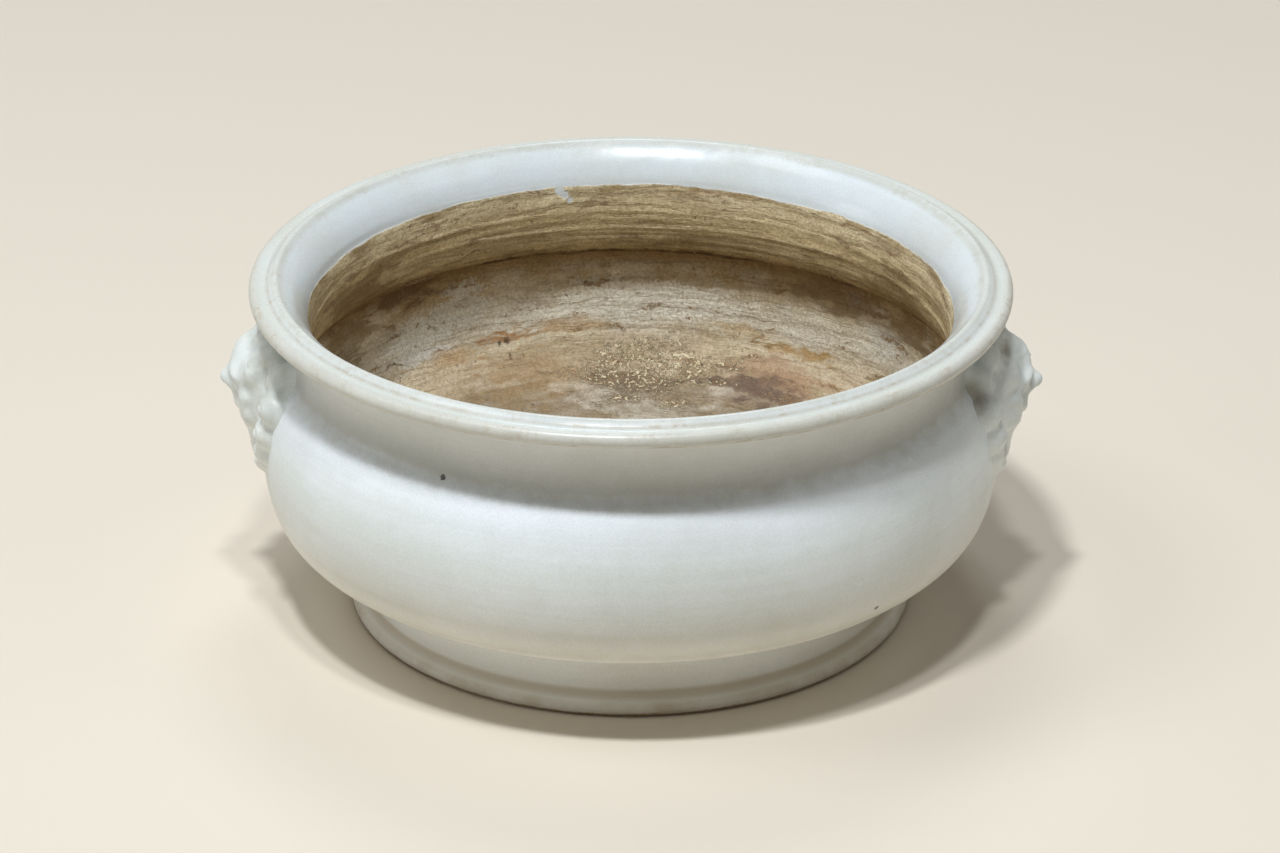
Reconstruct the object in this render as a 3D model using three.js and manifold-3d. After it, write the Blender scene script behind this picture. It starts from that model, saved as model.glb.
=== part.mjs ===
// A low round incense bowl of white glazed porcelain, on a foot ring, with a lion mask on
// each side. Millimetres, +Z up. The origin is the centre of the face that the foot stands
// on, and the masks lie on the X axis.

import * as THREE from 'three';
import { mergeVertices } from 'three/addons/utils/BufferGeometryUtils.js';
import Module from 'manifold-3d';

const wasm = await Module();
wasm.setup();

// Clearances
const slipGap = 0.3; // between a slip pad and the curved faces on either side of it
const slipThickness = 0.7;

// Foot ring
const footHeight = 13.0; // from the table to the seat under the bowl
const footTopRadius = 58.6;
const footCoveRadius = 57.2; // the narrowest place, just above the bead
const footCoveHeight = 4.5;
const footBeadRadius = 59.8;
const footBeadHeight = 3.0;
const footWall = 5.4; // measured at the cove
const footTaper = 1.4; // how much the inner face leans in towards the top
const footChamfer = 0.6;

// Outside of the bowl, from the foot up
const bellyRadius = 78.0;
const bellyHeight = 38.5; // height of the widest place
const bellyFootAngle = 21.4; // degrees above level at which the belly leaves the foot
const bellyFootPull = 15.4; // length of the curve's handle at the foot
const bellyWidestPull = 18.8; // and at the widest place
const shoulderPull = 8.0;
const shoulderRadius = 73.5; // where the shoulder turns into the neck
const shoulderHeight = 54.5;
const shoulderAngle = 140; // degrees above level at which the wall passes that place
const shoulderPullBelow = 4.2; // lengths of the curves' handles below and above it
const shoulderPullAbove = 1.9;
const neckRadius = 71.7; // the narrowest place
const neckHeight = 60.5;

// Lip
const mouthRadius = 80.0; // over the rolled edge
const rimHeight = 74.0; // top of the thin inner ridge
const lipWidth = 6.2; // from the ridge's inner face to the outside of the roll
const rollRadius = 1.6;
const rollDrop = 1.2; // how far the roll's top lies below the ridge
const rollFrom = -105; // degrees above level, where the flare meets the roll
const rollTo = 80; // and where the groove leaves it
const ridgeRadius = 0.6;
const ridgeFrom = 60; // degrees above level, where the groove meets the ridge
const ridgeTo = 185; // and where the inner face leaves it
const grooveDepth = 0.4; // of the shallow groove between ridge and roll

// Inside of the bowl
const floorThickness = 4.8;
const floorRadius = 40.0; // the flat middle of the floor
const bellyWall = 4.5;
const neckWall = 4.6;
const ledgeHeight = 48.8; // the lower edge of the neck's inner face
const ledgeOverhang = 3.4; // how far it stands in from the belly's inner face
const ledgeDepth = 2.6; // height of its underside

// Fullness of the curves: how much of the step or rise that it spans a curve's handle takes
const beadFullness = 0.65;
const neckFullness = 0.5;
const flareReach = 0.4;
const flareRise = 0.12;
const rimReach = 0.1;
const rimDrop = 0.25;
const throatFullness = 0.65;
const ledgeReach = 0.4;
const ledgeRise = 0.6;
const ledgeSharpness = 0.2;
const floorReach = 0.7;
const floorRise = 0.2;

// Lion masks
const maskHeight = 31.5;
const maskWidth = 38.0; // over the tufts of the mane
const maskRelief = 9.0; // how far the nose stands out past the belly
const maskBelowLip = 8.1; // from the roll's underside down to the crown
const blockWidth = 30.0; // of the oval block behind the face
const blockHeight = 28.0;
const blockRelief = 1.35; // how far the block's front stands out past the belly
const slipMargin = 0.4; // how far the slip pad shows round the block

// Fineness of the solids
const turns = 64; // steps round the axis
const ovalSteps = 28;
const lobeSteps = 11;
const curlSteps = 8;

// Shared helpers

const point = (radius, height) => new THREE.Vector2(radius, height);

function cubic(...corners) {
  return new THREE.CubicBezierCurve(...corners);
}

function arc(centre, radius, fromDegrees, toDegrees) {
  const from = THREE.MathUtils.degToRad(fromDegrees);
  const to = THREE.MathUtils.degToRad(toDegrees);
  return new THREE.EllipseCurve(centre.x, centre.y, radius, radius, from, to);
}

// Points along a run of curves that meet end to end, each given with its number of steps.
function trace(run) {
  const points = [];
  for (const [curve, steps] of run) {
    const next = curve.getPoints(steps);
    points.push(...(points.length ? next.slice(1) : next));
  }
  return points;
}

// A turned shape: the profile runs up the outside and down the inside.
function turned(profile) {
  return new THREE.LatheGeometry(profile, turns).rotateX(Math.PI / 2);
}

function toSolid(geometry) {
  const bare = geometry.clone();
  bare.deleteAttribute('normal');
  bare.deleteAttribute('uv');
  const merged = mergeVertices(bare, 1e-4);
  return new wasm.Manifold(new wasm.Mesh({
    numProp: 3,
    vertProperties: new Float32Array(merged.attributes.position.array),
    triVerts: new Uint32Array(merged.index.array),
  }));
}

function toGeometry(solid) {
  const mesh = solid.getMesh();
  const geometry = new THREE.BufferGeometry();
  geometry.setAttribute('position', new THREE.BufferAttribute(mesh.vertProperties, 3));
  geometry.setIndex(new THREE.BufferAttribute(mesh.triVerts, 1));
  geometry.computeVertexNormals();
  return geometry;
}

const holder = new THREE.Group();

function addPiece(name, geometry, finish) {
  const mesh = new THREE.Mesh(geometry, new THREE.MeshStandardMaterial(finish));
  mesh.name = name;
  holder.add(mesh);
  return mesh;
}

const glaze = { color: 0xd3dadc, roughness: 0.22, metalness: 0 };
const paleGlaze = { color: 0xc6ced0, roughness: 0.25, metalness: 0 };
const bareSlip = { color: 0xd9d2c2, roughness: 0.8, metalness: 0 };

// Bowl: one thrown body, turned underneath

const rollCentre = point(mouthRadius - rollRadius, rimHeight - rollDrop - rollRadius);
const roll = arc(rollCentre, rollRadius, rollFrom, rollTo);
const ridgeCentre = point(mouthRadius - lipWidth + ridgeRadius, rimHeight - ridgeRadius);
const ridge = arc(ridgeCentre, ridgeRadius, ridgeFrom, ridgeTo);

// A curve's handle: the point at a distance from a place, in a direction above level.
function handle(place, distance, degrees) {
  const angle = THREE.MathUtils.degToRad(degrees);
  return point(place.x + distance * Math.cos(angle), place.y + distance * Math.sin(angle));
}

function outsideOfBowl() {
  const seatEdge = point(footTopRadius, footHeight);
  const widest = point(bellyRadius, bellyHeight);
  const shoulder = point(shoulderRadius, shoulderHeight);
  const neck = point(neckRadius, neckHeight);
  const neckRise = neckHeight - shoulderHeight;
  const rollStart = roll.getPoint(0);
  const flare = rollStart.y - neckHeight;
  return [
    [cubic(
      seatEdge,
      handle(seatEdge, bellyFootPull, bellyFootAngle),
      point(bellyRadius, bellyHeight - bellyWidestPull),
      widest,
    ), 7],
    [cubic(
      widest,
      point(bellyRadius, bellyHeight + shoulderPull),
      handle(shoulder, -shoulderPullBelow, shoulderAngle),
      shoulder,
    ), 5],
    [cubic(
      shoulder,
      handle(shoulder, shoulderPullAbove, shoulderAngle),
      point(neckRadius, neckHeight - neckRise * neckFullness),
      neck,
    ), 4],
    [cubic(
      neck,
      point(neckRadius, neckHeight + flare * neckFullness),
      point(rollStart.x - flare * flareReach, rollStart.y - flare * flareRise),
      rollStart,
    ), 4],
    [roll, 6],
  ];
}

function insideOfBowl() {
  const ridgeStart = ridge.getPoint(0);
  const ridgeEnd = ridge.getPoint(1);
  const rollEnd = roll.getPoint(1);
  const grooveMiddle = point((ridgeStart.x + rollEnd.x) / 2, rollEnd.y - grooveDepth);
  const neckInner = neckRadius - neckWall;
  const bellyInner = bellyRadius - bellyWall;
  const throat = point(neckInner, neckHeight);
  const ledge = point(bellyInner - ledgeOverhang, ledgeHeight);
  const ledgeCorner = point(bellyInner, ledgeHeight - ledgeDepth * ledgeSharpness);
  const underLedge = point(bellyInner, ledgeHeight - ledgeDepth);
  const widest = point(bellyInner, bellyHeight);
  const floorHeight = footHeight + floorThickness;
  const rimFall = ridgeEnd.y - neckHeight;
  const neckFall = neckHeight - ledgeHeight;
  const bellyFall = bellyHeight - floorHeight;
  const floorStep = bellyInner - floorRadius;
  return [
    [new THREE.QuadraticBezierCurve(rollEnd, grooveMiddle, ridgeStart), 3],
    [ridge, 3],
    [cubic(
      ridgeEnd,
      point(ridgeEnd.x - lipWidth * rimReach, ridgeEnd.y - rimFall * rimDrop),
      point(neckInner, neckHeight + rimFall * throatFullness),
      throat,
    ), 5],
    [cubic(
      throat,
      point(neckInner, neckHeight - neckFall * neckFullness),
      point(ledge.x - ledgeOverhang * ledgeReach, ledgeHeight + ledgeOverhang * ledgeRise),
      ledge,
    ), 3],
    [new THREE.QuadraticBezierCurve(ledge, ledgeCorner, underLedge), 2],
    [new THREE.LineCurve(underLedge, widest), 1],
    [cubic(
      widest,
      point(bellyInner, floorHeight + bellyFall * floorRise),
      point(floorRadius + floorStep * floorReach, floorHeight),
      point(floorRadius, floorHeight),
    ), 7],
    [new THREE.LineCurve(point(floorRadius, floorHeight), point(0, floorHeight)), 1],
  ];
}

const underside = [new THREE.LineCurve(point(0, footHeight), point(footTopRadius, footHeight)), 1];
addPiece('bowl', turned(trace([underside, ...outsideOfBowl(), ...insideOfBowl()])), glaze);

// Foot ring and the slip that bonds it to the bowl's seat

const footInnerRadius = footCoveRadius - footWall;
const slipTopRadius = footTopRadius - slipMargin;
const ringTop = footHeight - slipThickness;

function footProfile() {
  const innerBottom = point(footInnerRadius, footChamfer);
  const innerTop = point(footInnerRadius - footTaper, ringTop);
  const beadTurn = footBeadHeight * beadFullness; // where the bead begins to turn in to the cove
  const standingInner = point(footInnerRadius + footChamfer, 0);
  const standingOuter = point(footBeadRadius - footChamfer, 0);
  return trace([
    [new THREE.LineCurve(standingInner, standingOuter), 1],
    [new THREE.QuadraticBezierCurve(
      standingOuter,
      point(footBeadRadius, 0),
      point(footBeadRadius, footChamfer),
    ), 2],
    [new THREE.LineCurve(point(footBeadRadius, footChamfer), point(footBeadRadius, beadTurn)), 1],
    [cubic(
      point(footBeadRadius, beadTurn),
      point(footBeadRadius, footBeadHeight),
      point(footCoveRadius, footBeadHeight),
      point(footCoveRadius, footCoveHeight),
    ), 5],
    [new THREE.LineCurve(point(footCoveRadius, footCoveHeight), point(footTopRadius, ringTop)), 2],
    [new THREE.LineCurve(point(footTopRadius, ringTop), innerTop), 1],
    [new THREE.LineCurve(innerTop, innerBottom), 1],
    [new THREE.LineCurve(innerBottom, standingInner), 1],
  ]);
}

addPiece('foot_ring', turned(footProfile()), glaze);

const slipInnerRadius = footInnerRadius - footTaper + slipMargin;
addPiece('foot_slip', turned([
  point(slipInnerRadius, ringTop),
  point(slipTopRadius, ringTop),
  point(slipTopRadius, footHeight),
  point(slipInnerRadius, footHeight),
  point(slipInnerRadius, ringTop),
]), bareSlip);

// Lion masks: both pressed in one mould, and luted to the wall with slip

const maskTop = rollCentre.y - rollRadius - maskBelowLip;
const maskMiddle = maskTop - maskHeight / 2;

// The wall behind a mask: how far out it stands where it is widest and where it is narrowest.
const wallBehindMask = trace(outsideOfBowl())
  .filter((place) => Math.abs(place.y - maskMiddle) <= maskHeight / 2)
  .map((place) => place.x);
const seatRadius = Math.max(...wallBehindMask);
const narrowRadius = Math.min(...wallBehindMask);

// The bowl's outer shape grown by a distance and filled to the axis, to cut what lies on it.
function grownBowl(distance) {
  const points = trace(outsideOfBowl());
  const grown = points.map((place, index) => {
    const before = points[Math.max(index - 1, 0)];
    const after = points[Math.min(index + 1, points.length - 1)];
    const along = after.clone().sub(before).normalize();
    return point(place.x + along.y * distance, place.y - along.x * distance);
  });
  const bottom = grown[0].y;
  const top = grown[grown.length - 1].y;
  return toSolid(turned([point(0, bottom), ...grown, point(0, top)]));
}

// The block behind the face: an oval pad that starts within the wall, also at its two sides,
// where the round wall falls away from it.
function ovalBlock(margin, reach) {
  const halfWidth = blockWidth / 2 + margin;
  const halfHeight = blockHeight / 2 + margin;
  const oval = new THREE.Shape();
  oval.absellipse(0, 0, halfWidth, halfHeight, 0, Math.PI * 2);
  const start = Math.sqrt(narrowRadius ** 2 - halfWidth ** 2) - neckWall;
  const block = new THREE.ExtrudeGeometry(oval, {
    depth: reach - start,
    curveSegments: ovalSteps / 2,
    bevelEnabled: false,
  });
  // The oval's first axis becomes Y, its second Z, and it is pushed outwards along X.
  block.rotateX(Math.PI / 2).rotateZ(Math.PI / 2).translate(start, 0, maskMiddle);
  return toSolid(block);
}

// Lobes of the face. A place is the share of the relief outside the belly, of half the width
// and of half the height from the middle; a size is half a lobe's depth, width and height,
// in the same shares. Those with a width place of 0 lie on the middle line, others in pairs.
const lobes = {
  forehead: { at: [-0.1, 0, 0.5], size: [0.82, 0.42, 0.42] },
  nose: { at: [0.56, 0, 0.25], size: [0.44, 0.18, 0.15] },
  muzzle: { at: [-0.02, 0, -0.02], size: [0.73, 0.36, 0.3] },
  beard: { at: [-0.02, 0, -0.56], size: [0.34, 0.31, 0.41] },
  brow: { at: [0.37, 0.27, 0.46], size: [0.36, 0.22, 0.12], tilt: -18 },
  eye: { at: [0.34, 0.28, 0.31], size: [0.24, 0.1, 0.1] },
  cheek: { at: [0.06, 0.36, 0.03], size: [0.48, 0.21, 0.23] },
  tuft: { at: [-0.33, 0.8, 0.3], size: [0.38, 0.2, 0.35] },
};

// Curls of the mane down each side: the share of half the width and of half the height, and
// the curl's radius as a share of half the height. They sit on the belly.
const curls = [[0.77, -0.14, 0.18], [0.66, -0.42, 0.15], [0.46, -0.68, 0.13]];

function ellipsoid(place, size, steps, tilt) {
  const ball = new THREE.SphereGeometry(1, steps, Math.round(steps * 0.7));
  ball.scale(...size).rotateX(THREE.MathUtils.degToRad(tilt)).translate(...place);
  return toSolid(ball);
}

function maskFace() {
  const halfWidth = maskWidth / 2;
  const halfHeight = maskHeight / 2;
  let face = ovalBlock(0, seatRadius + blockRelief);
  for (const { at, size, tilt = 0 } of Object.values(lobes)) {
    const depth = seatRadius + at[0] * maskRelief;
    const height = maskMiddle + at[2] * halfHeight;
    const halfSize = [size[0] * maskRelief, size[1] * halfWidth, size[2] * halfHeight];
    const sides = at[1] === 0 ? [1] : [-1, 1];
    for (const side of sides) {
      const place = [depth, side * at[1] * halfWidth, height];
      face = face.add(ellipsoid(place, halfSize, lobeSteps, side * tilt));
    }
  }
  for (const [across, up, size] of curls) {
    const radius = size * halfHeight;
    const wallDepth = Math.sqrt(bellyRadius ** 2 - (across * halfWidth) ** 2);
    for (const side of [-1, 1]) {
      const place = [wallDepth, side * across * halfWidth, maskMiddle + up * halfHeight];
      face = face.add(ellipsoid(place, [radius, radius, radius], curlSteps, 0));
    }
  }
  return face;
}

const slipShell = grownBowl(slipGap + slipThickness).subtract(grownBowl(slipGap));
const slipGeometry = toGeometry(ovalBlock(slipMargin, seatRadius + maskRelief).intersect(slipShell));
const maskGeometry = toGeometry(maskFace().subtract(grownBowl(slipThickness + 2 * slipGap)));

for (const [side, turn] of [['right', 0], ['left', Math.PI]]) {
  addPiece(`${side}_mask_slip`, slipGeometry, bareSlip).rotation.z = turn;
  addPiece(`lion_mask_${side}`, maskGeometry, paleGlaze).rotation.z = turn;
}

export default holder;
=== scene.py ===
import math
from bisect import bisect

import bmesh
import bpy
from mathutils import Matrix, Vector, noise
from mathutils.geometry import interpolate_bezier


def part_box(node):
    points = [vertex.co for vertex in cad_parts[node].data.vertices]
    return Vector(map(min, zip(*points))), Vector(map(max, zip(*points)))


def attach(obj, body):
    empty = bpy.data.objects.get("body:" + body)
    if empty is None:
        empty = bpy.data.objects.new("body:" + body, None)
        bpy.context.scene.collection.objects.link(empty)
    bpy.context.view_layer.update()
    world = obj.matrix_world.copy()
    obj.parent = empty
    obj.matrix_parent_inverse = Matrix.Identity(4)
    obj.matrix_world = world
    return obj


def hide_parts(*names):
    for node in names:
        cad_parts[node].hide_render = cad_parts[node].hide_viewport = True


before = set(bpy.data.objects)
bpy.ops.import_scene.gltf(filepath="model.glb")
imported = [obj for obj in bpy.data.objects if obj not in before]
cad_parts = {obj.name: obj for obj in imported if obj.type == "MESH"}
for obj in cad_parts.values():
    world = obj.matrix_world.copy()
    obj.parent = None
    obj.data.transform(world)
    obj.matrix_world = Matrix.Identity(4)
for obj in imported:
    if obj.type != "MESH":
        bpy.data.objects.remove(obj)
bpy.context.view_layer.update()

# Camera
# A long lens about 1.1 m in front of the bowl, which looks down on it by 25 degrees, as the
# photograph does.

mm = 0.001
camera_place = Vector((2.0, -1023.7, 510.6)) * mm
camera_aim = Vector((2.0, 0.0, 38.1)) * mm
camera_roll = math.radians(0.22)
focal_length = 149.9
film_width = 36.0

scene = bpy.context.scene


def put_in_scene(name, data):
    """A new object in the scene, which holds a camera, a mesh or a lamp."""
    item = bpy.data.objects.new(name, data)
    scene.collection.objects.link(item)
    return item


def aimed(place, aim):
    """The place and turn of a camera or a lamp that faces a point."""
    facing = (aim - place).to_track_quat("-Z", "Y").to_matrix().to_4x4()
    return Matrix.Translation(place) @ facing


lens = bpy.data.cameras.new("long_lens")
lens.lens = focal_length
lens.sensor_width = film_width
camera = put_in_scene("camera", lens)
camera.matrix_world = aimed(camera_place, camera_aim) @ Matrix.Rotation(camera_roll, 4, "Z")
scene.camera = camera
scene.view_settings.view_transform = "Standard"

# Bowl
# The body of the censer: one piece of white porcelain, thrown on a wheel and glazed outside and
# over the lip. Inside it stayed bare below the mouth, and smoke and ash have stained it.

rim_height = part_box("bowl")[1].z / mm
mouth_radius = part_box("bowl")[1].y / mm
seat_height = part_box("bowl")[0].z / mm
seat_radius = 58.6
belly_radius = 78.0
belly_height = 38.5
shoulder_radius = 73.5
shoulder_height = 54.5
neck_radius = 71.7
neck_height = 60.5
roll_radius = 1.6
roll_drop = 1.2
lip_width = 6.6
ridge_radius = 1.1
groove_depth = 0.55
throat_radius = 67.1
inner_belly_radius = 73.5
ledge_radius = 70.1
ledge_height = 48.8
ledge_depth = 2.6
floor_radius = 40.0
floor_height = 17.8
floor_bend_radius = 63.4
glaze_edge = 65.1
turns = 288


def bend(corners, steps):
    """Points along the cubic curve of four (radius, height) corners."""
    knots = [Vector((radius, 0.0, height)) for radius, height in corners]
    return [(place.x, place.z) for place in interpolate_bezier(*knots, steps + 1)]


def handle(place, distance, degrees):
    """The point at a distance from a place on the profile, in a direction above level."""
    angle = math.radians(degrees)
    return (place[0] + distance * math.cos(angle), place[1] + distance * math.sin(angle))


def arc(centre, radius, start, end, steps):
    """Points on a round edge of the profile, between two directions above level."""
    return [handle(centre, radius, start + (end - start) * step / steps) for step in range(steps + 1)]


roll_centre = (mouth_radius - roll_radius, rim_height - roll_drop - roll_radius)
roll = arc(roll_centre, roll_radius, -105, 80, 14)
ridge_centre = (mouth_radius - lip_width + ridge_radius, rim_height - ridge_radius)
ridge = arc(ridge_centre, ridge_radius, 60, 128, 6)

seat_edge = (seat_radius, seat_height)
widest = (belly_radius, belly_height)
shoulder = (shoulder_radius, shoulder_height)
neck = (neck_radius, neck_height)
flare = roll[0][1] - neck_height
outside = (
    bend([seat_edge, handle(seat_edge, 15.4, 21.4), (belly_radius, belly_height - 18.8), widest], 34)
    + bend([widest, (belly_radius, belly_height + 8.0), handle(shoulder, -4.2, 140), shoulder], 20)[1:]
    + bend([shoulder, handle(shoulder, 1.9, 140), (neck_radius, neck_height - 3.0), neck], 9)[1:]
    + bend([
        neck,
        (neck_radius, neck_height + flare * 0.5),
        (roll[0][0] - flare * 0.4, roll[0][1] - flare * 0.12),
        roll[0],
    ], 12)[1:]
    + roll[1:]
)

groove = ((ridge[0][0] + roll[-1][0]) / 2, roll[-1][1] - groove_depth)
ridge_foot = ridge[-1]
throat = (throat_radius, neck_height)
ledge = (ledge_radius, ledge_height)
under_ledge = (inner_belly_radius, ledge_height - ledge_depth)
inner_widest = (inner_belly_radius, belly_height)
floor_edge = (floor_radius, floor_height)
mouth_fall = ridge_foot[1] - neck_height
inside = (
    bend([roll[-1], groove, groove, ridge[0]], 5)
    + ridge[1:]
    + bend([
        ridge_foot,
        handle(ridge_foot, 3.6, 218),
        (throat_radius, neck_height + mouth_fall * 0.56),
        throat,
    ], 28)[1:]
    + bend([throat, (throat_radius, 54.6), (ledge_radius - 1.3, ledge_height + 2.0), ledge], 40)[1:]
    + bend([ledge, (72.6, ledge_height - 0.3), (inner_belly_radius, ledge_height - 0.9), under_ledge], 8)[1:]
    + bend([under_ledge, (inner_belly_radius, 44.0), (inner_belly_radius, 41.0), inner_widest], 12)[1:]
    + bend([inner_widest, (inner_belly_radius, 21.9), (floor_bend_radius, floor_height), floor_edge], 50)[1:]
    + bend([floor_edge, (27.0, floor_height), (13.0, floor_height), (0.0, floor_height)], 12)[1:]
)
underside = bend([(0.0, seat_height), (20.0, seat_height), (40.0, seat_height), seat_edge], 12)


def spin_profile(mesh, profile, finish=0):
    """Turns a profile of (radius, height) points round the upright axis, into new faces of the mesh."""
    old_faces = set(mesh.faces)
    points = [mesh.verts.new((radius * mm, 0.0, height * mm)) for radius, height in profile]
    lines = [mesh.edges.new(pair) for pair in zip(points, points[1:])]
    bmesh.ops.spin(
        mesh, geom=points + lines, cent=(0, 0, 0), axis=(0, 0, 1), angle=math.tau,
        steps=turns, use_merge=True,
    )
    for face in set(mesh.faces) - old_faces:
        face.material_index = finish


def close_up(mesh):
    """Merges seams and poles, and turns every face outwards."""
    bmesh.ops.remove_doubles(mesh, verts=mesh.verts, dist=0.001 * mm)
    bmesh.ops.recalc_face_normals(mesh, faces=mesh.faces)


def make_piece(name, mesh, finishes, stands_for):
    """A smooth-shaded piece at the origin, on the body, in place of its CAD node."""
    data = bpy.data.meshes.new(name)
    mesh.to_mesh(data)
    mesh.free()
    data.polygons.foreach_set("use_smooth", [True] * len(data.polygons))
    for finish in finishes:
        data.materials.append(finish)
    piece = put_in_scene(name, data)
    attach(piece, "root")
    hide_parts(*stands_for)
    return piece


def out_of_round(angle):
    """How far a hand-thrown wall stands in from its circle."""
    return -0.12 - 0.07 * math.cos(2 * angle + 0.6) - 0.04 * math.cos(3 * angle + 2.0)


bowl_mesh = bmesh.new()
spin_profile(bowl_mesh, underside)
spin_profile(bowl_mesh, outside)
spin_profile(bowl_mesh, inside, finish=1)
close_up(bowl_mesh)

thrown_ridge = 0.15
wheel_mark = 0.035
ledge_ragged = 0.7
finger_ridge = 0.3
finger_heights = (55.8, 59.8)
crest = bowl_mesh.verts.layers.float.new("crest")
moves = []
for vert in bowl_mesh.verts:
    place = vert.co / mm
    radius = math.hypot(place.x, place.y)
    if radius < 1.0:
        continue
    angle = math.atan2(place.y, place.x)
    outwards = Vector((place.x, place.y, 0.0)) / radius
    shift = outwards * out_of_round(angle) * radius / mouth_radius
    is_inside = place.z > floor_height - 0.1 and vert.normal.dot(outwards) < 0.5
    if is_inside and radius < throat_radius + 7.0 and place.z < 66.0:
        ring = noise.noise(Vector((place.x * 0.02, place.y * 0.02, (place.z + radius * 0.4) * 0.75)))
        fine = noise.noise(Vector((place.x * 0.05, place.y * 0.05, (place.z + radius * 0.4) * 2.1)))
        shift += vert.normal * thrown_ridge * (ring + 0.5 * fine)
        # Two ridges between the thrower's fingers, which come and go round the mouth
        for ridge_height, phase in zip(finger_heights, (1.0, 4.0)):
            ridge_height += 0.9 * noise.noise(Vector((place.x * 0.03, place.y * 0.03, phase)))
            strength = 0.55 + noise.noise(Vector((place.x * 0.035, place.y * 0.035, phase + 5.0)))
            near_ridge = math.exp(-((place.z - ridge_height) / 0.5) ** 2) * min(max(strength, 0.0), 1.0)
            shift += vert.normal * finger_ridge * near_ridge
            vert[crest] = max(vert[crest], near_ridge)
        near_ledge = math.exp(-((place.z - ledge_height + 0.6) / 1.3) ** 2)
        ragged = noise.noise(Vector((place.x * 0.12, place.y * 0.12, 3.0)))
        shift.z += ledge_ragged * near_ledge * ragged
    elif place.z > seat_height + 1.0:
        ring = noise.noise(Vector((place.x * 0.015, place.y * 0.015, place.z * 0.5)))
        shift -= outwards * wheel_mark * (1.0 + ring)
    moves.append((vert, shift * mm))
for vert, shift in moves:
    vert.co += shift


def srgb(red, green, blue):
    """A colour as a picture shows it, from 0 to 255, as the linear one that a shader takes."""
    def linear(value):
        share = value / 255
        return share / 12.92 if share <= 0.04045 else ((share + 0.055) / 1.055) ** 2.4
    return (linear(red), linear(green), linear(blue), 1.0)


def add(tree, kind, inputs=None, **settings):
    """A shader node with its settings, and its inputs as constants or as other nodes' outputs."""
    made = tree.nodes.new("ShaderNode" + kind)
    for name, value in settings.items():
        setattr(made, name, value)
    for name, value in (inputs or {}).items():
        if isinstance(value, bpy.types.NodeSocket):
            tree.links.new(value, made.inputs[name])
        else:
            made.inputs[name].default_value = value
    return made


def sum_of(tree, operation, first, second=0.0, clamp=False):
    """The output of a Math node."""
    made = add(tree, "Math", {0: first, 1: second}, operation=operation)
    made.use_clamp = clamp
    return made.outputs[0]


def most(tree, *masks):
    """The largest of several masks."""
    found = masks[0]
    for other in masks[1:]:
        found = sum_of(tree, "MAXIMUM", found, other)
    return found


def both(tree, first, second):
    """A mask where two masks meet, or a mask made weaker."""
    return sum_of(tree, "MULTIPLY", first, second)


def step_up(tree, value, low, high):
    """A mask that rises smoothly from 0 at low to 1 at high. It falls where low is the larger."""
    made = add(tree, "MapRange", {"Value": value, "From Min": low, "From Max": high},
               interpolation_type="SMOOTHSTEP")
    return made.outputs["Result"]


def band(tree, value, centre, half_width, soft):
    """A mask that is 1 near a value and falls to 0 over a soft edge on both sides."""
    away = sum_of(tree, "ABSOLUTE", sum_of(tree, "SUBTRACT", value, centre))
    return step_up(tree, away, half_width + soft, half_width)


def blend(tree, share, under, over, way="MIX"):
    """The colour over another one, by a share from 0 to 1."""
    made = add(tree, "Mix", data_type="RGBA", blend_type=way, clamp_factor=True)
    for index, value in ((0, share), (6, under), (7, over)):
        if isinstance(value, bpy.types.NodeSocket):
            tree.links.new(value, made.inputs[index])
        else:
            made.inputs[index].default_value = value
    return made.outputs[2]


def new_group(name, inputs, outputs):
    """A shader node group: its tree, its input sockets by name, and its output node."""
    tree = bpy.data.node_groups.new(name, "ShaderNodeTree")
    for socket, (kind, value) in inputs.items():
        made = tree.interface.new_socket(socket, in_out="INPUT", socket_type="NodeSocket" + kind)
        if value is not None:
            made.default_value = value
    for socket, kind in outputs.items():
        tree.interface.new_socket(socket, in_out="OUTPUT", socket_type="NodeSocket" + kind)
    start = tree.nodes.new("NodeGroupInput")
    return tree, start.outputs, tree.nodes.new("NodeGroupOutput")


def use(tree, group, inputs):
    """A group placed in a material with its own values. Returns its outputs."""
    made = tree.nodes.new("ShaderNodeGroup")
    made.node_tree = group
    for name, value in inputs.items():
        if isinstance(value, bpy.types.NodeSocket):
            tree.links.new(value, made.inputs[name])
        else:
            made.inputs[name].default_value = value
    return made.outputs


# Soft clouds, as in the thickness of a glaze or the soot on a wall
clouds, asked, given = new_group(
    "clouds",
    {"Place": ("Vector", None), "Size": ("Float", 20.0), "Low": ("Float", 0.4), "High": ("Float", 0.6)},
    {"Mask": "Float"},
)
scale = sum_of(clouds, "DIVIDE", 1.0, asked["Size"])
field = add(clouds, "TexNoise", {"Vector": asked["Place"], "Scale": scale, "Detail": 5.0, "Roughness": 0.6})
mask = step_up(clouds, field.outputs[0], asked["Low"], asked["High"])
clouds.links.new(mask, given.inputs["Mask"])


def cloudy(tree, place, size, low, high):
    """The clouds' mask, between two levels of their noise."""
    return use(tree, clouds, {"Place": place, "Size": size, "Low": low, "High": high})["Mask"]


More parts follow.
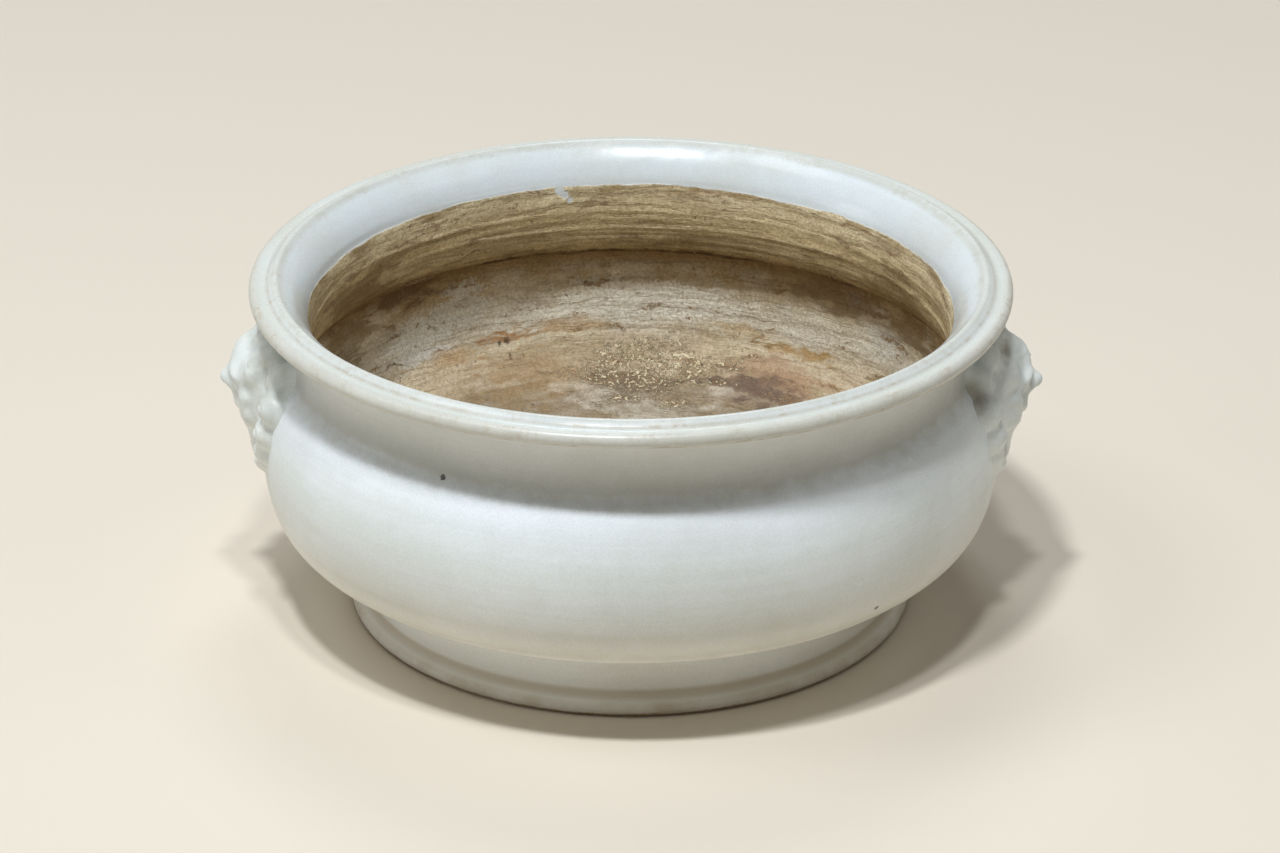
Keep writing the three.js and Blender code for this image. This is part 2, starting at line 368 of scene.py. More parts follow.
# Streaks round the bowl, left by the wheel: long across, and fine along the profile
streaks, asked, given = new_group(
    "wheel_streaks",
    {
        "Place": ("Vector", None), "Fineness": ("Float", 1.0), "Sweep": ("Float", 0.03),
        "Low": ("Float", 0.4), "High": ("Float", 0.6),
    },
    {"Mask": "Float"},
)
parts = add(streaks, "SeparateXYZ", {0: asked["Place"]}).outputs
squares = sum_of(streaks, "ADD", both(streaks, parts[0], parts[0]), both(streaks, parts[1], parts[1]))
across = sum_of(streaks, "SQRT", squares)
along = both(streaks, sum_of(streaks, "ADD", parts[2], both(streaks, across, 0.4)), asked["Fineness"])
swept = add(streaks, "CombineXYZ", {
    0: both(streaks, parts[0], asked["Sweep"]),
    1: both(streaks, parts[1], asked["Sweep"]),
    2: along,
}).outputs[0]
field = add(streaks, "TexNoise", {"Vector": swept, "Scale": 1.0, "Detail": 3.0, "Roughness": 0.65})
mask = step_up(streaks, field.outputs[0], asked["Low"], asked["High"])
streaks.links.new(mask, given.inputs["Mask"])


def streaky(tree, place, fineness, sweep, low, high):
    """The streaks' mask, between two levels of their noise."""
    return use(tree, streaks, {
        "Place": place, "Fineness": fineness, "Sweep": sweep, "Low": low, "High": high})["Mask"]


# Small round specks, of iron in the clay or of pinholes in the glaze
specks, asked, given = new_group(
    "specks",
    {"Place": ("Vector", None), "Spacing": ("Float", 6.0), "Radius": ("Float", 0.3), "Share": ("Float", 0.3)},
    {"Mask": "Float"},
)
scale = sum_of(specks, "DIVIDE", 1.0, asked["Spacing"])
cells = add(specks, "TexVoronoi", {"Vector": asked["Place"], "Scale": scale, "Randomness": 1.0})
chance = add(specks, "SeparateXYZ", {0: cells.outputs["Color"]}).outputs
distance = both(specks, cells.outputs["Distance"], asked["Spacing"])
reach = both(specks, asked["Radius"], sum_of(specks, "ADD", 0.4, chance[1]))
dot = step_up(specks, sum_of(specks, "DIVIDE", distance, reach), 1.0, 0.6)
kept = sum_of(specks, "LESS_THAN", chance[0], asked["Share"])
specks.links.new(both(specks, dot, kept), given.inputs["Mask"])


def specky(tree, place, spacing, radius, share):
    """The specks' mask. The share is the part of the places that hold one."""
    return use(tree, specks, {"Place": place, "Spacing": spacing, "Radius": radius, "Share": share})["Mask"]


# The glaze itself: clear blue-white, cloudier and warmer where it lies thin or is worn
glaze, asked, given = new_group(
    "glaze_skin",
    {
        "Place": ("Vector", None), "Clear": ("Color", (1, 1, 1, 1)), "Cloudy": ("Color", (1, 1, 1, 1)),
        "Dirt": ("Color", (0.3, 0.25, 0.2, 1)), "Wear": ("Float", 0.0),
    },
    {"Color": "Color", "Roughness": "Float", "Height": "Float"},
)
broad = cloudy(glaze, asked["Place"], 34.0, 0.36, 0.66)
small = cloudy(glaze, asked["Place"], 5.0, 0.42, 0.72)
turned = streaky(glaze, asked["Place"], 0.55, 0.012, 0.4, 0.68)
grain = add(glaze, "TexNoise", {"Vector": asked["Place"], "Scale": 2.6, "Detail": 2.0})
pits = specky(glaze, asked["Place"], 2.6, 0.16, 0.16)
iron = specky(glaze, asked["Place"], 13.0, 0.26, 0.22)
fine = both(glaze, sum_of(glaze, "ADD", small, turned), 0.22)
thin = sum_of(glaze, "ADD", both(glaze, broad, 0.55), fine)
colour = blend(glaze, thin, asked["Clear"], asked["Cloudy"])
hollows = step_up(glaze, grain.outputs[0], 0.62, 0.38)
colour = blend(glaze, hollows, colour, (0.94, 0.94, 0.935, 1), "MULTIPLY")
colour = blend(glaze, asked["Wear"], colour, asked["Dirt"])
colour = blend(glaze, both(glaze, pits, 0.4), colour, (0.25, 0.22, 0.18, 1))
colour = blend(glaze, both(glaze, iron, 0.8), colour, (0.035, 0.028, 0.022, 1))
glaze.links.new(colour, given.inputs["Color"])
rough = sum_of(glaze, "ADD", 0.33, both(glaze, thin, 0.14))
rough = sum_of(glaze, "ADD", rough, both(glaze, asked["Wear"], 0.3), clamp=True)
glaze.links.new(rough, given.inputs["Roughness"])
height = sum_of(glaze, "ADD", both(glaze, small, 0.5), both(glaze, grain.outputs[0], 0.35))
height = sum_of(glaze, "SUBTRACT", height, both(glaze, pits, 0.5))
glaze.links.new(height, given.inputs["Height"])


def new_material(name):
    """A material whose tree holds one Principled shader, and where a point is, in millimetres."""
    material = bpy.data.materials.new(name)
    material.use_nodes = True
    tree = material.node_tree
    shader = next(node for node in tree.nodes if node.type == "BSDF_PRINCIPLED")
    local = add(tree, "TexCoord").outputs["Object"]
    place = add(tree, "VectorMath", {0: local, "Scale": 1 / mm}, operation="SCALE").outputs[0]
    return material, tree, shader, place


def give_relief(tree, shader, height, depth):
    """Gives the shader a relief of that depth in millimetres."""
    bump = add(tree, "Bump", {"Height": height, "Distance": depth * mm, "Strength": 1.0})
    tree.links.new(bump.outputs[0], shader.inputs["Normal"])


def spot(tree, place, centre, radius, soft):
    """A mask round a point on the surface, in millimetres."""
    away = add(tree, "VectorMath", {0: place, 1: centre}, operation="DISTANCE").outputs["Value"]
    return step_up(tree, away, radius + soft, radius)


def blotch(tree, place, rough, centre, reach, flatness):
    """A mask of a ragged patch, where the roughness wears away its fading edge."""
    offset = add(tree, "VectorMath", {0: place, 1: centre}, operation="SUBTRACT").outputs[0]
    offset = add(tree, "VectorMath", {0: offset, 1: (1.0, 1.0, flatness)}, operation="MULTIPLY").outputs[0]
    away = add(tree, "VectorMath", {0: offset}, operation="LENGTH").outputs["Value"]
    fade = step_up(tree, away, reach * 1.3, 0.0)
    return step_up(tree, sum_of(tree, "ADD", fade, rough), 0.3, 0.75)


def fray(tree, place, size, reach):
    """The place moved by a noise, so that what is laid out on it gets a ragged edge."""
    field = add(tree, "TexNoise", {"Vector": place, "Scale": 1 / size, "Detail": 4.0, "Roughness": 0.65})
    centred = add(tree, "VectorMath", {0: field.outputs["Color"], 1: (0.5, 0.5, 0.5)}, operation="SUBTRACT")
    moved = add(tree, "VectorMath", {0: centred.outputs[0], "Scale": reach * 2}, operation="SCALE")
    return add(tree, "VectorMath", {0: place, 1: moved.outputs[0]}, operation="ADD").outputs[0]


def ramp_up(tree, height, levels):
    """A colour that changes with the height, by (height in millimetres, colour) levels."""
    made = add(tree, "ValToRGB", {0: sum_of(tree, "DIVIDE", height, rim_height)})
    while len(made.color_ramp.elements) < len(levels):
        made.color_ramp.elements.new(0.5)
    for stop, (at, level_colour) in zip(made.color_ramp.elements, levels):
        stop.position = at / rim_height
        stop.color = level_colour
    return made.outputs[0]


def height_of(tree, place):
    """How high a place is."""
    return add(tree, "SeparateXYZ", {0: place}).outputs[2]


def from_axis(tree, place):
    """How far a place is from the bowl's axis."""
    level = add(tree, "VectorMath", {0: place, 1: (1.0, 1.0, 0.0)}, operation="MULTIPLY").outputs[0]
    return add(tree, "VectorMath", {0: level}, operation="LENGTH").outputs["Value"]


clear_glaze = srgb(216, 224, 227)
cloudy_glaze = srgb(207, 211, 206)
worn_glaze = srgb(168, 154, 128)

# Outside, the colour changes with height: bluest over the shoulder and greyer on the neck, partly the glaze's
# own tone and partly painted light
outer_glaze, tree, shader, place = new_material("white_glaze_outside")
height = height_of(tree, place)
sideways = add(tree, "SeparateXYZ", {0: place}).outputs[0]
ragged = fray(tree, place, 4.0, 1.6)
ragged_height = height_of(tree, ragged)
# Painted light in these levels: painted highlight makes the shoulder and belly (44-53 mm) and the belly's
# lower edge (13-18 mm) lighter and bluer; the grey level at 56.5 mm is painted shade on the neck, under the
# lip
thick = ramp_up(tree, ragged_height, (
    (13.0, srgb(255, 253, 246)), (18.2, srgb(254, 252, 244)), (20.8, srgb(224, 222, 212)),
    (32.0, srgb(228, 232, 229)), (44.0, srgb(242, 251, 255)), (53.0, srgb(240, 247, 254)),
    (56.5, srgb(190, 192, 188)), (61.0, srgb(211, 213, 209)), (67.5, srgb(224, 226, 223)),
    (70.8, srgb(212, 212, 204)), (72.4, srgb(202, 202, 194)), (73.6, srgb(191, 192, 184)),
))
thin = blend(tree, 1.0, thick, srgb(240, 240, 235), "MULTIPLY")
patches = cloudy(tree, place, 9.0, 0.44, 0.64)
grains = cloudy(tree, place, 1.4, 0.42, 0.62)
under_lip = both(tree, band(tree, ragged_height, 69.8, 0.15, 0.5), step_up(tree, sideways, -75.0, 10.0))
lip_top = both(tree, both(tree, step_up(tree, height, 70.4, 71.4), 0.5), grains)
wear = most(tree, both(tree, under_lip, 0.6), both(tree, lip_top, patches))
skin = use(tree, glaze, {
    "Place": place, "Clear": thick, "Cloudy": thin, "Dirt": worn_glaze, "Wear": wear})
chip_place = fray(tree, place, 0.6, 0.35)
chips = most(
    tree,
    spot(tree, chip_place, (-37.3, -62.2, 55.5), 0.5, 0.25),
    spot(tree, chip_place, (50.1, -56.4, 23.8), 0.42, 0.25),
)
colour = blend(tree, both(tree, chips, 0.92), skin["Color"], srgb(46, 40, 32))
tree.links.new(colour, shader.inputs["Base Color"])
tree.links.new(skin["Roughness"], shader.inputs["Roughness"])
give_relief(tree, shader, skin["Height"], 0.03)

# Inside, bare clay stained by smoke and ash, in levels down the wall that wander and fray
inner_finish, tree, shader, place = new_material("mouth_glaze_and_stained_clay")
parts = add(tree, "SeparateXYZ", {0: place}).outputs
wide = fray(tree, place, 26.0, 5.5)
loose = fray(tree, place, 7.0, 2.6)
crumbly = fray(tree, place, 1.6, 1.0)
wide_height = height_of(tree, wide)
loose_height = height_of(tree, loose)
fray_height = height_of(tree, fray(tree, place, 3.0, 1.3))
grit = add(tree, "TexNoise", {"Vector": place, "Scale": 1.5, "Detail": 4.0, "Roughness": 0.75}).outputs[0]
coarse_grit = cloudy(tree, place, 2.6, 0.4, 0.62)
gentle = fray(tree, place, 14.0, 1.8)
short_streaks = streaky(tree, gentle, 0.6, 0.06, 0.42, 0.64)
long_streaks = streaky(tree, place, 0.8, 0.035, 0.44, 0.68)
smears = streaky(tree, wide, 0.16, 0.05, 0.4, 0.64)
mottles = cloudy(tree, place, 11.0, 0.44, 0.62)

level = sum_of(tree, "ADD", both(tree, wide_height, 0.55), both(tree, loose_height, 0.45))
colour = ramp_up(tree, level, (
    (17.0, srgb(178, 167, 147)), (19.6, srgb(172, 160, 140)), (21.5, srgb(196, 178, 148)),
    (24.0, srgb(218, 200, 167)), (28.0, srgb(232, 218, 188)), (33.0, srgb(250, 245, 226)),
    (38.0, srgb(247, 238, 213)), (42.0, srgb(216, 194, 156)), (45.5, srgb(178, 152, 112)),
    (48.3, srgb(142, 112, 70)), (49.6, srgb(180, 154, 108)), (53.0, srgb(224, 204, 162)),
    (58.0, srgb(222, 200, 154)), (63.0, srgb(238, 222, 182)), (66.0, srgb(240, 226, 190)),
))
above_ledge = step_up(tree, parts[2], 49.0, 51.0)
below_ledge = step_up(tree, parts[2], 46.5, 43.0)
colour = blend(tree, both(tree, smears, 0.36), colour, srgb(146, 119, 78))
colour = blend(tree, both(tree, both(tree, short_streaks, above_ledge), 0.45), colour, srgb(126, 100, 60))
colour = blend(tree, both(tree, both(tree, long_streaks, above_ledge), 0.4), colour, srgb(226, 208, 166))
colour = blend(tree, both(tree, both(tree, mottles, below_ledge), 0.45), colour, srgb(242, 237, 222))
colour = blend(tree, both(tree, both(tree, short_streaks, below_ledge), 0.28), colour, srgb(150, 122, 84))
pale_lines = streaky(tree, place, 2.3, 0.03, 0.56, 0.66)
dark_lines = streaky(tree, gentle, 1.9, 0.045, 0.42, 0.32)
colour = blend(tree, both(tree, both(tree, pale_lines, above_ledge), 0.55), colour, srgb(236, 220, 180))
colour = blend(tree, both(tree, dark_lines, 0.4), colour, srgb(116, 90, 54))
# Painted highlight: the crests of the finger ridges inside the mouth are made lighter
ridge_crest = add(tree, "Attribute", attribute_name="crest").outputs["Fac"]
colour = blend(tree, both(tree, step_up(tree, ridge_crest, 0.45, 0.9), 0.5), colour, srgb(238, 222, 184))
scorched = band(tree, fray_height, 48.7, 0.35, 1.1)
scorched = both(tree, scorched, sum_of(tree, "ADD", 0.45, both(tree, mottles, 0.5)))
colour = blend(tree, scorched, colour, srgb(84, 59, 26))
smoked = both(tree, band(tree, fray_height, 50.4, 0.6, 1.6), short_streaks)
colour = blend(tree, both(tree, smoked, 0.5), colour, srgb(104, 78, 40))

# Ash crust, rust and soot, mostly low on the back wall, and painted shade on the side walls by the ledge:
# centre, reach, flatness, colour and strength
rough_edge = streaky(tree, loose, 0.42, 0.1, 0.28, 0.72)
rough_edge = sum_of(tree, "ADD", both(tree, rough_edge, 0.9), both(tree, grit, 1.1))
rough_edge = sum_of(tree, "SUBTRACT", rough_edge, 1.0)
stains = (
    ((4.0, 72.5, 36.0), 34.0, 5.0, srgb(250, 245, 230), 0.75),
    ((-47.0, 55.5, 32.5), 12.0, 1.5, srgb(244, 242, 234), 0.85),
    ((-38.0, 62.5, 38.5), 12.0, 1.8, srgb(242, 240, 230), 0.75),
    ((55.0, 48.5, 36.6), 8.0, 1.6, srgb(236, 235, 226), 0.6),
    # These six dark brown patches on the left and right walls, at and under the ledge, are partly soot and
    # partly painted shade where those walls turn from the light
    ((-51.0, 52.0, 45.5), 16.0, 2.4, srgb(112, 88, 56), 0.75),
    ((-60.0, 40.0, 40.0), 15.0, 1.6, srgb(134, 112, 78), 0.6),
    ((46.0, 57.0, 44.5), 19.0, 3.0, srgb(116, 92, 58), 0.55),
    ((62.0, 40.0, 43.0), 16.0, 2.4, srgb(124, 100, 66), 0.55),
    ((-62.0, 34.0, 53.0), 20.0, 2.0, srgb(128, 100, 60), 0.6),
    ((60.0, 39.0, 53.0), 19.0, 2.0, srgb(132, 106, 66), 0.62),
    ((-26.8, 66.4, 29.6), 12.0, 4.4, srgb(174, 126, 72), 0.85),
    ((-14.0, 69.6, 30.4), 13.0, 5.6, srgb(200, 160, 108), 0.5),
    ((-40.0, 59.6, 27.4), 12.0, 4.2, srgb(198, 160, 108), 0.55),
    ((38.5, 60.0, 28.2), 12.0, 5.6, srgb(178, 142, 84), 0.8),
    ((24.0, 66.5, 30.6), 10.0, 5.0, srgb(206, 176, 128), 0.5),
    ((62.0, 34.0, 28.0), 15.0, 3.6, srgb(186, 156, 108), 0.6),
    ((-22.0, 63.0, 23.6), 18.0, 3.4, srgb(186, 156, 120), 0.6),
    ((33.0, 59.0, 23.2), 17.0, 3.6, srgb(186, 150, 120), 0.6),
    ((2.0, 63.0, 20.8), 16.0, 6.5, srgb(122, 104, 86), 0.7),
    ((-26.0, 57.0, 20.0), 13.0, 3.6, srgb(160, 134, 94), 0.6),
    ((26.0, 58.5, 21.2), 18.0, 6.5, srgb(120, 100, 88), 0.85),
    ((20.0, -66.0, 27.0), 18.0, 3.6, srgb(182, 150, 106), 0.6),
    ((-48.0, -42.0, 23.0), 18.0, 3.0, srgb(180, 150, 114), 0.6),
)
for centre, reach, flatness, stain, strength in stains:
    patch = blotch(tree, loose, rough_edge, centre, reach, flatness)
    colour = blend(tree, both(tree, patch, strength), colour, stain)
rust_belt = both(tree, band(tree, loose_height, 24.5, 2.0, 4.0), mottles)
colour = blend(tree, both(tree, rust_belt, 0.35), colour, srgb(182, 144, 98))
crusted = blotch(tree, loose, rough_edge, (6.0, 64.8, 22.9), 24.0, 2.9)
grains = cloudy(tree, place, 0.75, 0.51, 0.57)
chaff = both(tree, grains, crusted)
cracks = cloudy(tree, crumbly, 1.2, 0.54, 0.62)
colour = blend(tree, both(tree, both(tree, cracks, crusted), 0.5), colour, srgb(112, 88, 62))
colour = blend(tree, both(tree, chaff, 0.8), colour, srgb(252, 238, 200))
burnt = most(
    tree,
    spot(tree, crumbly, (-27.7, 65.9, 28.7), 0.35, 0.8),
    spot(tree, crumbly, (-26.8, 64.2, 25.8), 0.3, 0.8),
    spot(tree, crumbly, (-29.5, 65.0, 28.3), 0.2, 0.7),
)
colour = blend(tree, both(tree, burnt, 0.85), colour, srgb(74, 52, 34))
dust = specky(tree, crumbly, 2.2, 0.36, 0.4)
colour = blend(tree, both(tree, dust, 0.5), colour, srgb(92, 72, 50))
colour = blend(tree, both(tree, coarse_grit, 0.45), colour, (0.84, 0.82, 0.79, 1), "MULTIPLY")
colour = blend(tree, step_up(tree, grit, 0.6, 0.4), colour, (0.74, 0.72, 0.68, 1), "MULTIPLY")

# Above an uneven line the mouth is glazed, with one nick of glaze that ran below it
wavy_line = both(tree, height_of(tree, fray(tree, place, 30.0, 2.0)), 0.8)
ragged_line = both(tree, height_of(tree, fray(tree, place, 1.5, 1.2)), 0.2)
glaze_line = sum_of(tree, "ADD", wavy_line, ragged_line)
nick_place = fray(tree, place, 1.4, 0.35)
nick = most(
    tree,
    spot(tree, nick_place, (-16.0, 66.0, 65.0), 0.9, 0.4),
    spot(tree, nick_place, (-14.9, 66.1, 63.9), 0.8, 0.4),
    spot(tree, nick_place, (-13.8, 66.2, 62.7), 0.6, 0.4),
)
glazed = most(tree, step_up(tree, glaze_line, glaze_edge, glaze_edge + 0.5), both(tree, nick, 0.9))
burnt_edge = both(tree, band(tree, glaze_line, glaze_edge - 0.5, 0.3, 1.0), mottles)
colour = blend(tree, both(tree, burnt_edge, 0.6), colour, srgb(132, 102, 56))
radius = from_axis(tree, place)
on_lip = step_up(tree, parts[2], 72.5, 73.0)
in_groove = both(tree, on_lip, band(tree, radius, 76.9, 0.9, 0.8))
fine_wear = cloudy(tree, place, 1.6, 0.42, 0.62)
patchy = cloudy(tree, place, 9.0, 0.4, 0.64)
groove_dirt = both(tree, in_groove, sum_of(tree, "ADD", 0.35, both(tree, both(tree, patchy, fine_wear), 0.5)))
ridge_wear = both(tree, both(tree, on_lip, 0.3), both(tree, patchy, fine_wear))
ridge_glaze = blend(tree, band(tree, radius, 74.1, 0.7, 1.2), clear_glaze, srgb(198, 201, 195))
skin = use(tree, glaze, {
    "Place": place, "Clear": ridge_glaze, "Cloudy": cloudy_glaze, "Dirt": worn_glaze,
    "Wear": most(tree, groove_dirt, ridge_wear)})
rolled = step_up(tree, radius, 75.4, 76.6)
aged_glaze = blend(tree, rolled, skin["Color"], (0.88, 0.86, 0.8, 1), "MULTIPLY")
colour = blend(tree, glazed, colour, aged_glaze)
tree.links.new(colour, shader.inputs["Base Color"])
polished = both(tree, skin["Roughness"], sum_of(tree, "ADD", 0.34, both(tree, patchy, 0.4)))
rough = add(tree, "Mix", {0: glazed, 2: 0.9, 3: polished}, data_type="FLOAT").outputs[0]
tree.links.new(rough, shader.inputs["Roughness"])
shader.inputs["Specular IOR Level"].default_value = 0.3
bare_relief = sum_of(tree, "ADD", both(tree, grit, 0.9), both(tree, coarse_grit, 0.4))
bare_relief = sum_of(tree, "ADD", bare_relief, both(tree, short_streaks, -0.5))
bare_relief = sum_of(tree, "ADD", bare_relief, both(tree, chaff, 1.6))
relief = add(tree, "Mix", {0: glazed, 2: bare_relief, 3: both(tree, skin["Height"], 0.12)},
             data_type="FLOAT").outputs[0]
give_relief(tree, shader, relief, 0.22)

make_piece("porcelain_bowl", bowl_mesh, [outer_glaze, inner_finish], ["bowl"])

# Foot ring
# A ring turned from the same clay, glazed outside, with a small bead. Its standing edge was wiped
# bare before firing and is worn brown.

foot_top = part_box("foot_ring")[1].z / mm
bead_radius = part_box("foot_ring")[1].y / mm
bead_height = 3.0
cove_radius = 57.2
cove_height = 4.5
foot_wall = 5.4
foot_taper = 1.4
standing_round = 1.5

inner_radius = cove_radius - foot_wall
cove = (cove_radius, cove_height)
foot_profile = (
    bend([
        (inner_radius, 1.2), (inner_radius, 0.3), (inner_radius + 0.5, 0.0), (inner_radius + 1.2, 0.0),
    ], 5)
    + bend([
        (inner_radius + 1.2, 0.0), (inner_radius + 2.5, 0.0), (bead_radius - 2.0, 0.0),
        (bead_radius - standing_round, 0.0),
    ], 5)[1:]
    + bend([
        (bead_radius - standing_round, 0.0), (bead_radius - 0.4, 0.2), (bead_radius, 0.7), (bead_radius, 1.5),
    ], 8)[1:]
    + bend([
        (bead_radius, 1.5), (bead_radius, bead_height), (cove_radius, bead_height), cove,
    ], 14)[1:]
    + bend([cove, (cove_radius + 0.3, 6.5), (seat_radius - 0.2, 9.5), (seat_radius, foot_top)], 16)[1:]
    + bend([
        (seat_radius, foot_top), (seat_radius - 3.0, foot_top), (inner_radius + 2.0, foot_top),
        (inner_radius - foot_taper, foot_top),
    ], 5)[1:]
    + bend([
        (inner_radius - foot_taper, foot_top), (inner_radius - foot_taper, 8.0), (inner_radius, 4.0),
        (inner_radius, 1.2),
    ], 10)[1:]
)
foot_mesh = bmesh.new()
spin_profile(foot_mesh, foot_profile)
close_up(foot_mesh)
for vert in foot_mesh.verts:
    place = vert.co / mm
    radius = math.hypot(place.x, place.y)
    angle = math.atan2(place.y, place.x)
    ring = noise.noise(Vector((place.x * 0.015, place.y * 0.015, place.z * 0.6)))
    inwards = (out_of_round(angle) - wheel_mark * (1.0 + ring)) * mm
    vert.co += Vector((math.cos(angle), math.sin(angle), 0.0)) * inwards

foot_finish, tree, shader, place = new_material("foot_glaze")
height = height_of(tree, place)
ragged = add(tree, "TexNoise", {"Vector": place, "Scale": 0.5, "Detail": 3.0}).outputs[0]
edge_level = sum_of(tree, "ADD", height, both(tree, ragged, 0.9))
patches = cloudy(tree, place, 8.0, 0.4, 0.66)
# A band of dirt colour in the cove above the bead: painted shade in that crease, with some grime
cove_grime_and_shade = both(tree, band(tree, height, 4.2, 0.2, 1.5), 0.6)
bead_wear = both(tree, step_up(tree, height, 3.6, 2.2), sum_of(tree, "ADD", 0.36, both(tree, patches, 0.25)))
skin = use(tree, glaze, {
    "Place": place, "Clear": srgb(238, 240, 235), "Cloudy": srgb(228, 227, 217), "Dirt": srgb(168, 147, 115),
    "Wear": most(tree, cove_grime_and_shade, bead_wear)})
bare = step_up(tree, edge_level, 1.5, 1.1)
grit = add(tree, "TexNoise", {"Vector": place, "Scale": 1.6, "Detail": 3.0}).outputs[0]
clay = blend(tree, grit, srgb(150, 120, 86), srgb(190, 164, 128))
colour = blend(tree, bare, skin["Color"], clay)
tree.links.new(colour, shader.inputs["Base Color"])
rough = add(tree, "Mix", {0: bare, 2: skin["Roughness"], 3: 0.85}, data_type="FLOAT").outputs[0]
tree.links.new(rough, shader.inputs["Roughness"])
give_relief(tree, shader, skin["Height"], 0.04)

make_piece("turned_foot_ring", foot_mesh, [foot_finish], ["foot_ring"])

# Foot slip
# The same clay, wetted to a slip, bonds the ring under the bowl. What was squeezed out was wiped
# to a small fillet in the corner and glazed with the ring.

fillet_out = 0.5
slip_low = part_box("foot_slip")[0].z / mm
slip_inner = 50.8

fillet_mesh = bmesh.new()
spin_profile(fillet_mesh, (
    [(slip_inner, slip_low), (seat_radius - 0.4, slip_low)]
    + bend([
        (seat_radius - 0.4, slip_low - 0.3), (seat_radius - 0.05, slip_low + 0.1),
        (seat_radius + 0.1, seat_height - 0.1), (seat_radius + fillet_out, seat_height + 0.25),
    ], 6)
    + [(seat_radius - 0.6, seat_height + 0.1), (slip_inner, seat_height - 0.01), (slip_inner, slip_low)]
))
close_up(fillet_mesh)
make_piece("foot_slip_fillet", fillet_mesh, [foot_finish], ["foot_slip"])

# Lion masks
# Two masks pressed in one mould and stuck under the lip with slip before glazing. The glaze lies
# thick over the faces, fills their folds and runs out on the wall.

mask_middle = 45.75
patch_half_width = 25.6
patch_half_height = 18.6
patch_turn = 21
patch_thickness = 5.0
closing_radius = 75.0
glaze_fill = 0.8
voxel = 0.34

# Lobes of the face, in millimetres: depth beyond the belly, across and up from the middle, then
# half the depth, width and height, and a tilt in degrees. Those off the middle line come in pairs.
lobes = {
    "backing": ((-6.0, 0.0, 0.0), (7.6, 20.0, 14.6), 0),
    "mane_base": ((-3.6, 0.0, 1.5), (6.2, 17.5, 13.4), 0),
    "forehead": ((-0.9, 0.0, 7.7), (7.3, 8.0, 6.5), 0),
    "temple": ((-3.0, 8.4, 8.2), (6.2, 4.8, 4.8), 0),
    "brow": ((3.4, 4.7, 7.3), (3.2, 4.3, 1.8), -18),
    "bridge": ((4.0, 0.0, 5.6), (2.4, 1.8, 2.8), 0),
    "nose": ((5.2, 0.0, 3.8), (3.7, 2.7, 2.3), 0),
    "nostril": ((4.6, 2.3, 3.0), (2.5, 1.6, 1.5), 0),
    "eye": ((3.3, 5.4, 4.6), (2.3, 1.9, 1.7), 0),
    "cheekbone": ((0.8, 8.4, 2.6), (3.6, 2.8, 2.2), 12),
    "muzzle": ((-0.2, 0.0, -0.3), (6.2, 6.2, 4.4), 0),
    "whisker_pad": ((2.0, 3.1, -0.4), (3.7, 3.7, 2.8), 0),
    "cheek": ((0.3, 7.2, -0.6), (4.1, 4.2, 4.0), 0),
    "jaw": ((0.4, 0.0, -5.3), (3.9, 5.8, 2.5), 0),
    "chin": ((-0.3, 0.0, -8.0), (3.4, 4.8, 3.6), 0),
    "beard_middle": ((-0.2, 0.0, -10.9), (2.9, 1.6, 4.1), 0),
    "beard_inner": ((-0.4, 2.7, -10.5), (2.7, 1.5, 3.9), 10),
    "beard_outer": ((-0.8, 5.2, -9.6), (2.5, 1.5, 3.6), 20),
}

# Curls of the mane from the crown down each side: across, up, radius and how far they stand out
curls = (
    (4.4, 14.0, 2.8, 4.6), (10.4, 12.6, 3.1, 3.4), (15.8, 10.0, 3.3, 1.6), (19.6, 5.0, 3.7, 0.0),
    (18.0, -1.2, 3.4, -0.3), (15.6, -6.0, 2.9, -0.5), (12.0, -9.6, 2.5, -0.5), (8.0, -12.2, 2.1, -0.4),
)
wall_heights = [height for radius, height in outside[:1 - len(roll)]]


def wall_radius(height):
    """The outer radius of the bowl at a height."""
    above = min(max(bisect(wall_heights, height), 1), len(wall_heights) - 1)
    (low_radius, low), (high_radius, high) = outside[above - 1], outside[above]
    return low_radius + (height - low) / (high - low) * (high_radius - low_radius)


def wall_depth(across, height):
    """How far out along X the bowl's wall stands, beside a mask's middle."""
    return math.sqrt(wall_radius(height) ** 2 - across ** 2)


def soften(mesh, verts, rounds):
    """Rounds the relief off, as a coat of glaze does."""
    for _ in range(rounds):
        bmesh.ops.smooth_vert(
            mesh, verts=verts, factor=0.5, use_axis_x=True, use_axis_y=True, use_axis_z=True)


def shift_all(mesh, distance):
    """Moves the whole surface out along its normals, or in where the distance is negative."""
    mesh.normal_update()
    for vert, shift in [(vert, vert.normal * (distance * mm)) for vert in mesh.verts]:
        vert.co += shift


